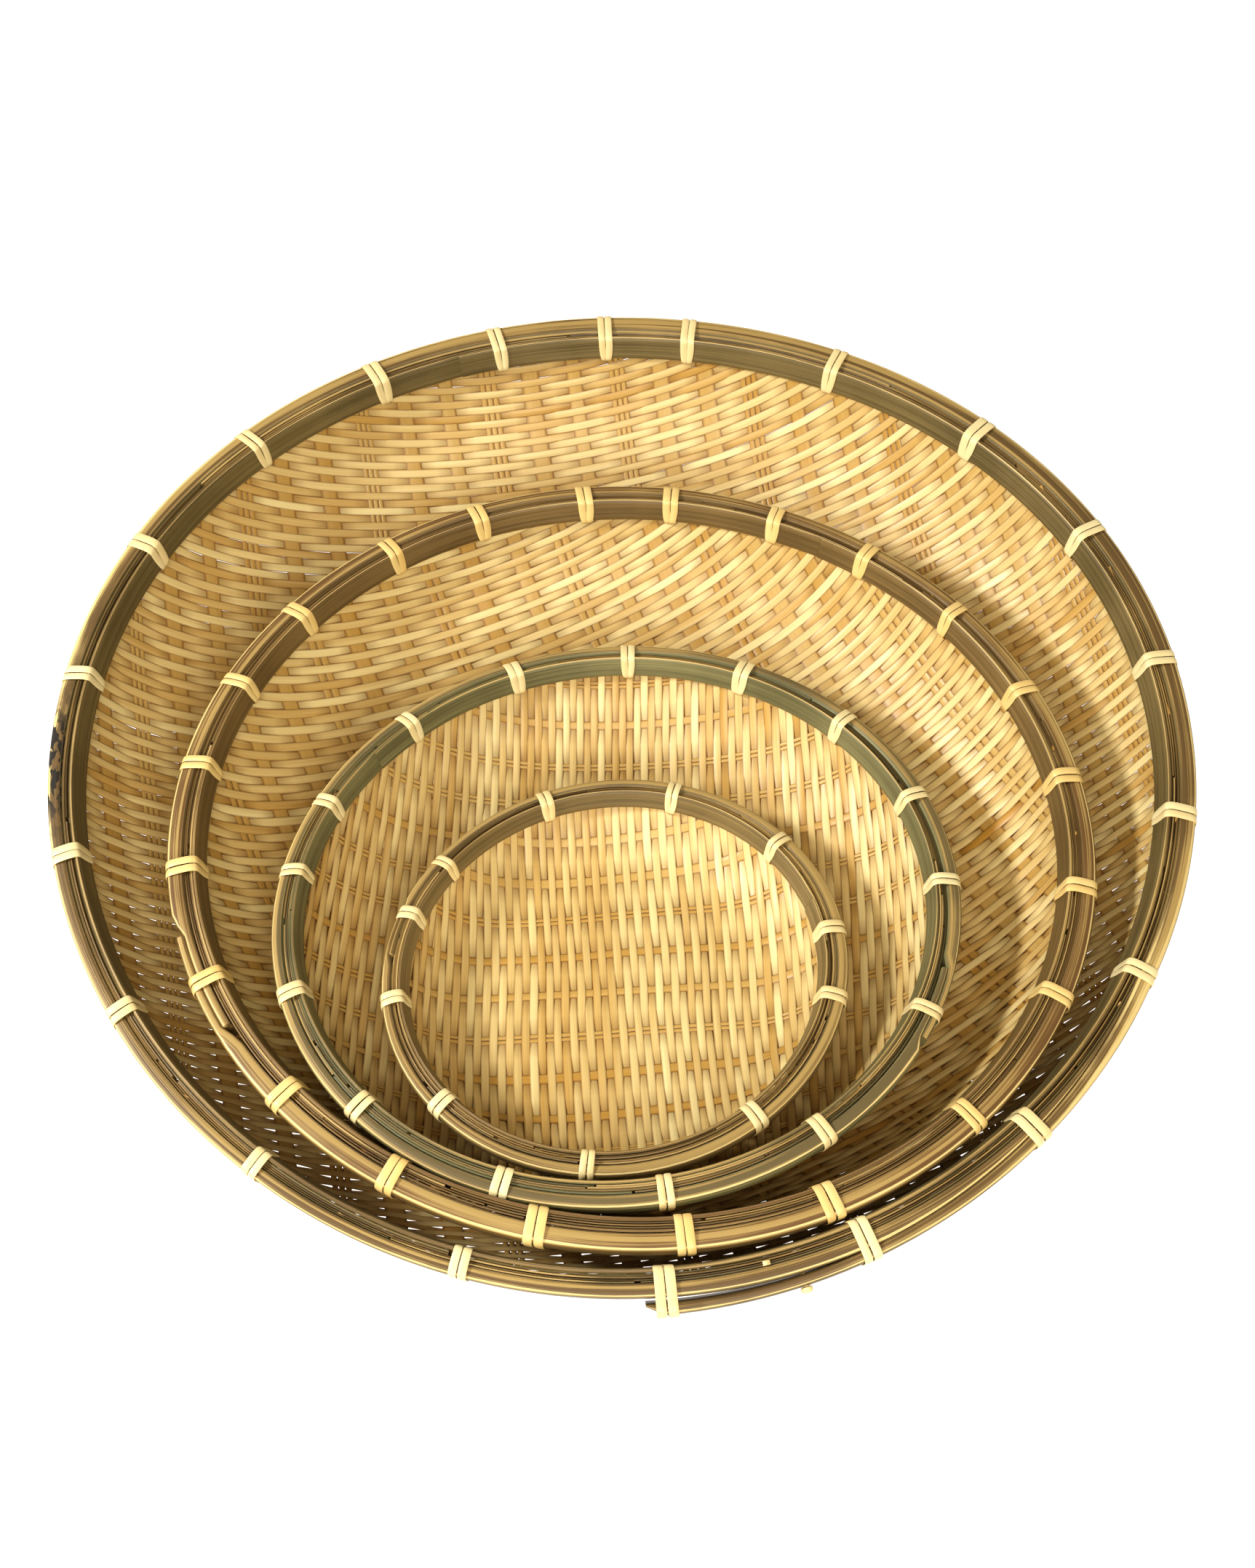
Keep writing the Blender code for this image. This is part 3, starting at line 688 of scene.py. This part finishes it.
def hoop_sections(low, high, near, far, height, bulge, skin_inside):
    """Sections of a hoop whose start keeps its outer part and whose end keeps its inner part."""
    sections = []
    for inner_loss, outer_loss in zip(near, far):
        inside = low + (high - low) * inner_loss
        outside = high - (high - low) * outer_loss
        section = hoop_outline(0.0, height, inside, outside, bulge)
        if skin_inside:
            section = [(drop, inside + outside - depth, cut) for drop, depth, cut in section]
        sections.append(section)
    return np.array(sections)


# --- Operators ---

def settings_of(context):
    scene = context.scene
    return scene.tray_weave, scene.tray_rim, scene.tray_finish, scene.tray_stage


BAMBOO_GLOSS = 0.25
STAKE_TINT = (0.78, 0.68, 0.5)
HOOP_TINTS = {1: (1.0, 0.9, 0.8), 2: (1.1, 0.86, 0.7), 3: (1.1, 1.22, 1.3), 4: (1.15, 1.0, 0.95)}
CANE_TINTS = {2: (0.97, 0.86, 0.66)}
# Ink-dark stain on the hoop tops.
STAIN_COLOUR = (0.02, 0.015, 0.01)


class TRAYS_OT_weave(bpy.types.Operator):
    """Weave every bowl from its own wefts and stakes"""

    bl_idname = "trays.weave"
    bl_label = "Weave the bowls"

    def execute(self, context):
        weave, _, finish, _ = settings_of(context)
        light, dark = tinted(finish.weft_light), tinted(finish.weft_dark)
        for tray in TRAYS:
            mat = Mat(tray, weave)
            for kind, lay, pale in (("weft", weave_wefts, light),
                                    ("stake", weave_stakes, tinted(light, *STAKE_TINT))):
                batch = Batch()
                lay(mat, weave, batch)
                material = woven_finish(f"{tray.prefix}_{kind}_bamboo", pale, dark, BAMBOO_GLOSS)
                batch.build(f"{tray.prefix}_{kind}s", tray, material,
                            [f"{tray.prefix}_woven_bowl"])
        return {"FINISHED"}


def tray_hoop_finish(tray, finish):
    name = f"{tray.prefix}_hoop_bamboo"
    if name in bpy.data.materials:
        return bpy.data.materials[name]
    skin = tinted(finish.skin, *HOOP_TINTS[tray.number])
    cut = tinted(finish.cut_edge)
    stripe = tinted(skin, 1.2, 1.0, 1.0)
    return hoop_finish(name, skin, cut, stripe, STAIN_COLOUR)


class TRAYS_OT_inner_hoops(bpy.types.Operator):
    """Bend the thin inner hoops and scarf their ends"""

    bl_idname = "trays.inner_hoops"
    bl_label = "Bend the inner hoops"

    def execute(self, context):
        _, rim, finish, _ = settings_of(context)
        for tray in TRAYS:
            batch = Batch()
            start = tray.inner_splice - SCARF
            end = tray.inner_splice + math.tau
            azimuth = turns(start, end, tray.radius)
            near, far = scarfed_shares(azimuth, start, end)
            low = tray.inner_face
            high = low + rim.inner_thickness * tray.share
            outline = hoop_sections(low, high, near, far, rim.hoop_height * tray.share, 0.2 * MM,
                                    True)
            rim_strip(batch, tray, azimuth, outline, tray.number, 0.35)
            batch.build(f"{tray.prefix}_inner_hoop_strip", tray, tray_hoop_finish(tray, finish),
                        [f"{tray.prefix}_inner_hoop"])
        return {"FINISHED"}


def tail_outline(tray, azimuth, height):
    """Sections of the largest outer hoop where it lies outside its own tapering other end."""
    sections = []
    for angle in azimuth:
        share = np.clip((tray.outer_splice + TAIL_TAPER - angle) / TAIL_TAPER, 0.0, 1.0)
        low = tray.face + (tray.outer_thickness + RIM_GAP) * share
        thickness = tray.outer_thickness * (1.0 + (TAIL_SHARE - 1.0) * share)
        away = max((tray.outer_splice - angle) / TAIL_ANGLE, 0.0)
        low += TAIL_FLARE * away
        sag = TAIL_SAG * away
        left = min((angle - azimuth[0]) / TAIL_CUT, 1.0)
        thickness *= 0.3 + 0.7 * left
        sections.append(hoop_outline(sag, height + sag, low, low + thickness, HOOP_CROWN * left))
    return np.array(sections)


def tapering_outline(tray, azimuth, height):
    """Sections of the largest outer hoop's inner end, pared away under the outside layer."""
    past = azimuth - (tray.outer_splice + math.tau)
    shares = np.clip(1.0 - past / TAIL_TAPER, 0.05, 1.0)
    return np.array([hoop_outline(0.0, height, tray.face,
                                  tray.face + tray.outer_thickness * share, HOOP_CROWN * share)
                     for share in shares])


def around(azimuth, middle, spread):
    """1 at the middle, given in degrees, falling off over the spread on both sides."""
    off = (np.degrees(azimuth) - middle + 180.0) % 360.0 - 180.0
    return np.exp(-(off / spread) ** 2)


class TRAYS_OT_outer_hoops(bpy.types.Operator):
    """Bend the thick outer hoops; the largest one ends in a tail"""

    bl_idname = "trays.outer_hoops"
    bl_label = "Bend the outer hoops"

    def execute(self, context):
        _, rim, finish, _ = settings_of(context)
        for tray in TRAYS:
            batch = Batch()
            height = rim.hoop_height * tray.share
            if tray.number == 1:
                tip = tray.outer_splice - TAIL_ANGLE
                tail = np.concatenate([[tip], turns(tip + TAIL_CUT, tray.outer_splice + TAIL_TAPER,
                                                    tray.radius)])
                body = turns(tray.outer_splice + TAIL_TAPER,
                             tray.outer_splice + TAIL_TAPER + math.tau - math.radians(1.0),
                             tray.radius)[1:]
                outline = np.concatenate([tail_outline(tray, tail, height),
                                          tapering_outline(tray, body, height)])
                azimuth = np.concatenate([tail, body])
                pale = sum(around(azimuth, middle, PALE_SPREAD) for middle in PALE_STRETCHES)
                outline[:, :, 2] += 0.3 * pale[:, None] * (outline[:, :, 2] > 0.2)
                stain = around(azimuth, STAIN_MIDDLE, STAIN_SPREAD) * STAIN_DEPTH
                rim_strip(batch, tray, azimuth, outline, 10, 0.6, stain)
            else:
                start = tray.outer_splice - SCARF
                end = tray.outer_splice + math.tau
                azimuth = turns(start, end, tray.radius)
                near, far = scarfed_shares(azimuth, start, end)
                outline = hoop_sections(tray.face, tray.outer_face, near, far, height, HOOP_CROWN,
                                        False)
                rim_strip(batch, tray, azimuth, outline, 10 + tray.number, 0.6)
            batch.build(f"{tray.prefix}_outer_hoop_strip", tray, tray_hoop_finish(tray, finish),
                        [f"{tray.prefix}_outer_hoop"])
        return {"FINISHED"}


class TRAYS_OT_slivers(bpy.types.Operator):
    """Pack slivers into the groove between the hoops"""

    bl_idname = "trays.slivers"
    bl_label = "Pack the slivers"

    def execute(self, context):
        _, rim, finish, _ = settings_of(context)
        for tray in TRAYS:
            random = np.random.default_rng(40 + tray.number)
            batch = Batch()
            low = tray.inner_face + (rim.inner_thickness + 0.35 * MM) * tray.share
            high = tray.face - 0.15 * MM
            pitch = (high - low) / rim.sliver_count
            for row in range(rim.sliver_count):
                angle = random.uniform(0, math.tau)
                finish_angle = angle + math.tau
                while angle < finish_angle - math.radians(6):
                    span = random.uniform(0.5, 1.9)
                    stop = min(angle + span, finish_angle)
                    gap = random.uniform(1, 4) * MM / tray.radius
                    azimuth = turns(angle, stop - gap, tray.radius)
                    top = random.uniform(0.0, 1.8) * MM
                    left = low + row * pitch
                    right = left + pitch * random.uniform(0.6, 0.9)
                    middle = (left + right) / 2
                    cut = random.uniform(0.1, 0.9)
                    outline = [(top + 0.2 * MM, left, cut), (top, middle, cut),
                               (top + 0.2 * MM, right, cut), (SLIVER_BOTTOM, right, 0.3),
                               (SLIVER_BOTTOM, left, 0.3)]
                    rim_strip(batch, tray, azimuth, outline, 60 + row * 7 + angle,
                              random.uniform(0.2, 0.9))
                    angle = stop
            batch.build(f"{tray.prefix}_filler_slivers", tray, sliver_finish(tray, finish),
                        [f"{tray.prefix}_rim_filler"])
        return {"FINISHED"}


def sliver_finish(tray, finish):
    skin = tinted(finish.skin, *HOOP_TINTS[tray.number])
    cut = tinted(finish.cut_edge, 0.62, 0.56, 0.5)
    return hoop_finish(f"{tray.prefix}_sliver_bamboo", skin, cut, tinted(skin, 0.7, 0.6, 0.5),
                       STAIN_COLOUR)


def tie_path(tray, height, outer, bottom, cane):
    """Drops and depths of a cane turn, from its hole inside, over the rim and under it."""
    inner = tray.inner_face
    off = cane * 0.55
    return np.array([
        (height + 3.4 * MM, -0.3 * MM),
        (height + 2.0 * MM, inner + 1.6 * MM),
        (height + 0.4 * MM, inner - off),
        (height * 0.75, inner - off - 0.15 * MM),
        (height * 0.4, inner - off - 0.2 * MM),
        (2.2 * MM, inner - off - 0.2 * MM),
        (0.5 * MM, inner - off + 0.1 * MM),
        (-off - 0.2 * MM, inner + 1.0 * MM),
        (-off - 0.9 * MM, inner + 3.0 * MM),
        (-off - 1.0 * MM, (inner + outer) / 2),
        (-off - 0.7 * MM, outer - 2.6 * MM),
        (-off - 0.1 * MM, outer - 0.6 * MM),
        (0.6 * MM, outer + off + 0.1 * MM),
        (2.0 * MM, outer + off + 0.7 * MM),
        (bottom * 0.25, outer + off + 0.9 * MM),
        (bottom * 0.5, outer + off + 1.1 * MM),
        (bottom * 0.8, outer + off + 0.8 * MM),
        (bottom + 0.2 * MM, outer + off - 0.4 * MM),
        (bottom + 1.4 * MM, outer - 2.0 * MM),
        (bottom + 1.6 * MM, WALL / 2 + 0.4 * MM),
    ])


def ease_corners(rows):
    """Cut every corner of a path once, keeping its ends."""
    first, second = rows[:-1], rows[1:]
    cut = np.stack([first * 0.75 + second * 0.25, first * 0.25 + second * 0.75], axis=1)
    return np.concatenate([rows[:1], cut.reshape(-1, rows.shape[1]), rows[-1:]])


def add_tie(batch, tray, azimuth, rim, random, seed):
    """Two turns of cane round the rim that run together into one hole inside."""
    height = rim.hoop_height * tray.share
    outer, bottom = tray.outer_face, height
    past = tray.outer_splice - azimuth
    if tray.number == 1 and -TAIL_TAPER < past < TAIL_ANGLE:
        lap = np.clip((past + TAIL_TAPER) / TAIL_TAPER, 0.0, 1.0)
        away = max(past / TAIL_ANGLE, 0.0)
        outer = tray.outer_face + (RIM_GAP + tray.outer_thickness * TAIL_SHARE) * lap
        outer += TAIL_FLARE * away
        bottom = height + TAIL_SAG * away
    path = tie_path(tray, height, outer, bottom, rim.cane_thickness)
    slant = random.normal(0.9, 0.6) * MM * tray.share
    scale = tray.share * random.uniform(0.9, 1.12)
    lean = np.linspace(-1.0, 1.0, len(path)) * slant
    spread = np.ones(len(path))
    spread[:4] = (0.3, 0.4, 0.62, 0.85)
    widths = np.ones(len(path))
    widths[:4] = (0.45, 0.62, 0.85, 0.97)
    # Painted shade on the first corners of the path, where the cane goes into its hole.
    recess_shade = np.zeros(len(path))
    recess_shade[:3] = (1.0, 0.75, 0.15)
    eased = ease_corners(ease_corners(np.column_stack([path, lean, spread, widths, recess_shade])))
    path, (lean, spread, widths, recess_shade) = eased[:, :2], eased[:, 2:].T
    for turn, side in enumerate((-0.5, 0.5)):
        centre = (lean + side * rim.turn_spacing * scale * spread) / tray.radius
        angles = azimuth + centre
        points = tray.rim(angles, path[:, 0], path[:, 1])
        sideways = np.stack([-np.sin(angles), np.cos(angles), np.zeros(len(angles))], axis=-1)
        tangents = np.gradient(points, axis=0)
        normals = np.cross(sideways, tangents)
        core = tray.rim(angles, np.full(len(angles), height / 2), np.full(len(angles), outer / 2))
        outwards = np.sum(normals * (points - core), axis=1, keepdims=True)
        normals *= np.where(outwards.mean() < 0, -1.0, 1.0)
        normals /= np.linalg.norm(normals, axis=1, keepdims=True)
        width = rim.turn_width * scale * widths * random.uniform(0.94, 1.04)
        batch.strip(points, normals, width, rim.cane_thickness, seed * 2 + turn,
                    random.normal(0.7, 0.12), recess_shade)


def add_run(batch, tray, start, end, rim, seed):
    """The cane's hidden way from one tie to the next, between the inner hoop and the weave."""
    angles = turns(start, end, tray.radius)
    drop = rim.hoop_height * tray.share * 0.5
    depth = tray.inner_face + (rim.inner_thickness + 0.7 * MM) * tray.share
    points = tray.rim(angles, np.full(len(angles), drop), np.full(len(angles), depth))
    inwards = np.stack([-np.cos(angles), -np.sin(angles), np.full(len(angles), 0.25)], axis=-1)
    batch.strip(points, inwards, 2.4 * MM, 0.5 * MM, seed, 0.6, 0.3)


class TRAYS_OT_lacing(bpy.types.Operator):
    """Bind the rims with double turns of cane, two ties to a strip"""

    bl_idname = "trays.lacing"
    bl_label = "Bind the rims"

    def execute(self, context):
        _, rim, finish, _ = settings_of(context)
        for tray in TRAYS:
            random = np.random.default_rng(80 + tray.number)
            material = cane_finish(f"{tray.prefix}_tie_cane",
                                   tinted(finish.cane, *CANE_TINTS.get(tray.number, ())))
            for strip, first in enumerate(range(0, len(tray.ties), 2), start=1):
                pair = tray.ties[first:first + 2]
                batch = Batch()
                for azimuth in pair:
                    add_tie(batch, tray, azimuth, rim, random, first + tray.number * 40)
                if len(pair) == 2:
                    add_run(batch, tray, *pair, rim, first + tray.number * 40)
                node = f"{tray.prefix}_lacing_{strip:02d}"
                batch.build(f"{node}_cane", tray, material, [node])
        return {"FINISHED"}


def peg_rings(tray):
    """Outlines of the peg from its point inside the hoop to its rounded head outside."""
    angles = np.linspace(0.0, math.tau, 12, endpoint=False)
    inner = tray.face + tray.outer_thickness / 3
    away = (tray.outer_splice - PEG_AZIMUTH) / TAIL_ANGLE
    outer = tray.outer_face + RIM_GAP + tray.outer_thickness * TAIL_SHARE
    outer += TAIL_FLARE * away + HOOP_CROWN
    stations = ((inner, 1.2), (inner + 1.0 * MM, 1.6), (outer, 1.6), (outer + 0.3 * MM, 2.7),
                (outer + 2.0 * MM, 2.6), (outer + 2.9 * MM, 1.6))
    rings = []
    for depth, radius in stations:
        wobble = radius * MM * (1.0 + 0.08 * np.cos(2 * angles + 1.0))
        rings.append(tray.rim(PEG_AZIMUTH + wobble * np.cos(angles) / tray.radius,
                              PEG_DROP + wobble * np.sin(angles), np.full(len(angles), depth)))
    return np.array(rings)


def wedge_rings(tray):
    """Outlines of the wedge along the groove: a rough block, higher at one end."""
    half = WALL / 2
    rings = []
    for share, top in ((-1.0, -0.6), (-0.5, -1.2), (0.3, -1.0), (1.0, -0.3)):
        angle = WEDGE_AZIMUTH + share * WEDGE_WIDTH / 2 / tray.radius
        corners = np.array([(1.3 * MM, -half), (top * MM, -half * 0.8),
                            (top * 1.2 * MM, 0.1 * half), (top * MM, half * 0.9),
                            (1.3 * MM, half)])
        rings.append(tray.rim(angle, corners[:, 0], corners[:, 1]))
    return np.array(rings)


class TRAYS_OT_splice(bpy.types.Operator):
    """Drive the peg through the largest rim's tail and set the wedge in its groove"""

    bl_idname = "trays.splice"
    bl_label = "Pin the splice"

    def execute(self, context):
        _, _, finish, _ = settings_of(context)
        tray = TRAYS[0]
        material = cane_finish("pale_bamboo", tinted(finish.cane, 1.0, 0.94, 0.85))
        pieces = (("splice_peg", peg_rings(tray)), ("rim_wedge", wedge_rings(tray)))
        for name, rings in pieces:
            batch = Batch()
            seeds = np.full(rings.shape[:2], 5.0)
            fibre = np.stack([rings[:, :, 2], rings[:, :, 0], seeds], axis=-1)
            batch.loft(rings, fibre, np.broadcast_to((0.7, 0.0, 0.0), rings.shape))
            batch.build(f"{tray.prefix}_{name}_piece", tray, material,
                        [f"{tray.prefix}_{name}"])
        return {"FINISHED"}


FLOOR_HALF = 6.0
FLOOR_GLOW = 0.86
KEY_PLACE, KEY_SIZE, KEY_COLOUR = (-1.45, -0.1, 1.25), 0.3, (1.0, 0.99, 0.96)
FILL_PLACE, FILL_SIZE, FILL_COLOUR = (0.1, -1.5, 1.5), 1.4, (1.0, 0.94, 0.82)
FILL_SHARE = 1.35
WORLD_COLOUR, WORLD_STRENGTH = (1.0, 0.87, 0.62, 1.0), 0.27
VIEW_MIDDLE = (0.004, 0.024, 0.0)


class TRAYS_OT_stage(bpy.types.Operator):
    """Set the pale floor, the soft lights and the camera"""

    bl_idname = "trays.stage"
    bl_label = "Set the stage"

    def execute(self, context):
        stage = context.scene.tray_stage
        floor_finish = Finish("pale_floor")
        patches = floor_finish.blotch(3.0)
        colour = floor_finish.mix(patches, (0.24, 0.24, 0.24), (0.26, 0.26, 0.26))
        floor_finish.finish(colour, patches * 0.1 + 0.6, patches, 0.01 * MM)
        floor_finish.shader.inputs["Emission Color"].default_value = (1.0, 1.0, 1.0, 1.0)
        floor_finish.shader.inputs["Emission Strength"].default_value = FLOOR_GLOW
        mesh = bpy.data.meshes.new("floor")
        signs = ((-1, -1), (1, -1), (1, 1), (-1, 1))
        mesh.from_pydata([(x * FLOOR_HALF, y * FLOOR_HALF, 0) for x, y in signs], [],
                         [(0, 1, 2, 3)])
        mesh.materials.append(floor_finish.material)
        floor = bpy.data.objects.new("floor", mesh)
        context.scene.collection.objects.link(floor)
        self.light("key", KEY_PLACE, KEY_SIZE, stage.key_power, KEY_COLOUR)
        self.light("fill", FILL_PLACE, FILL_SIZE, stage.key_power * FILL_SHARE, FILL_COLOUR)
        world = bpy.data.worlds.new("studio")
        world.use_nodes = True
        glow = world.node_tree.nodes["Background"].inputs
        glow["Color"].default_value = WORLD_COLOUR
        glow["Strength"].default_value = WORLD_STRENGTH
        context.scene.world = world
        context.scene.view_settings.view_transform = "Standard"
        context.scene.view_settings.look = "Medium High Contrast"
        data = bpy.data.cameras.new("camera")
        data.lens = stage.lens
        data.sensor_width = 36.0
        camera = bpy.data.objects.new("camera", data)
        context.scene.collection.objects.link(camera)
        back = Vector((0.0, -math.cos(stage.elevation), math.sin(stage.elevation)))
        camera.location = Vector(VIEW_MIDDLE) + back * stage.distance
        camera.rotation_euler = (math.pi / 2 - stage.elevation, 0.0, 0.0)
        context.scene.camera = camera
        return {"FINISHED"}

    def light(self, name, place, size, power, colour):
        data = bpy.data.lights.new(name, "AREA")
        data.size = size
        data.energy = power
        data.color = colour
        lamp = bpy.data.objects.new(name, data)
        lamp.location = place
        lamp.rotation_euler = (-Vector(place)).to_track_quat("-Z", "Y").to_euler()
        bpy.context.scene.collection.objects.link(lamp)


class TRAYS_PT_panel(bpy.types.Panel):
    """The steps of making the nest"""

    bl_label = "Winnowing trays"
    bl_idname = "TRAYS_PT_panel"
    bl_space_type = "VIEW_3D"
    bl_region_type = "UI"
    bl_category = "Trays"

    def draw(self, context):
        for step in STEPS:
            self.layout.operator(step.bl_idname)
        for name in SETTINGS:
            box = self.layout.box()
            for key in SETTINGS[name].__annotations__:
                box.prop(getattr(context.scene, name), key)


STEPS = (TRAYS_OT_weave, TRAYS_OT_inner_hoops, TRAYS_OT_outer_hoops, TRAYS_OT_slivers,
         TRAYS_OT_lacing, TRAYS_OT_splice, TRAYS_OT_stage)
SETTINGS = {"tray_weave": TrayWeaveSettings, "tray_rim": TrayRimSettings,
            "tray_finish": TrayFinishSettings, "tray_stage": TrayStageSettings}


def register():
    for kind in (*SETTINGS.values(), *STEPS, TRAYS_PT_panel):
        bpy.utils.register_class(kind)
    for name, kind in SETTINGS.items():
        setattr(bpy.types.Scene, name, PointerProperty(type=kind))


def unregister():
    for name in SETTINGS:
        delattr(bpy.types.Scene, name)
    for kind in reversed((*SETTINGS.values(), *STEPS, TRAYS_PT_panel)):
        bpy.utils.unregister_class(kind)


def main():
    register()
    settle_trays()
    for step in STEPS:
        group, name = step.bl_idname.split(".")
        getattr(getattr(bpy.ops, group), name)()


if __name__ == "__main__":
    main()
